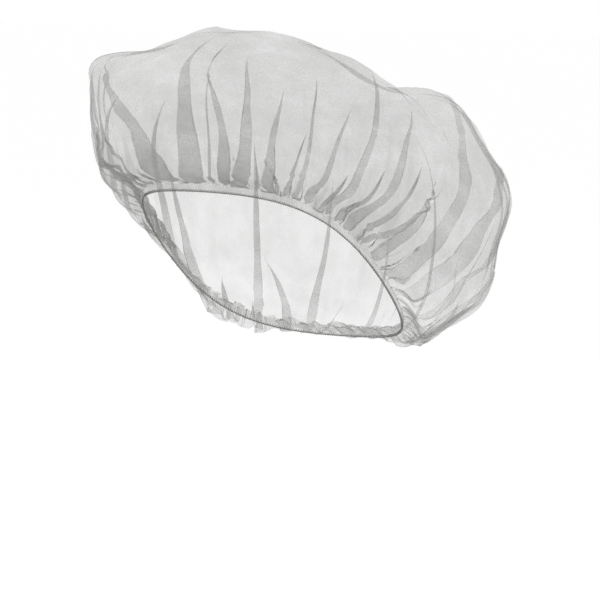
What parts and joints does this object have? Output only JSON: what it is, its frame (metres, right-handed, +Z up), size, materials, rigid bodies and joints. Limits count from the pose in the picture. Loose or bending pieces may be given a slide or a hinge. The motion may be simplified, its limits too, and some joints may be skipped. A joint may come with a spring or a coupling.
{
  "type": "disposable hair cover cap",
  "caption": "Puffed nonwoven bouffant cap, gathered onto a sewn-in elastic edge around an open head hole, held in its worn shape.",
  "frame": {"origin": "middle of the opening for the head, level with the middle of its edge", "axes": "+Z up, -Y towards the wearer's face, +X towards the wearer's left"},
  "size_m": [0.2573, 0.2671, 0.1972],
  "materials": {
    "nonwoven": "thin white spunbond nonwoven, half see-through, matt",
    "hem": "the same nonwoven doubled and gathered tight",
    "elastic": "thin elastic bound in by white overlock thread"
  },
  "bodies": {
    "root": {"crown": "nonwoven", "hem_band": "hem", "elastic_edge": "elastic"}
  },
  "joints": []
}
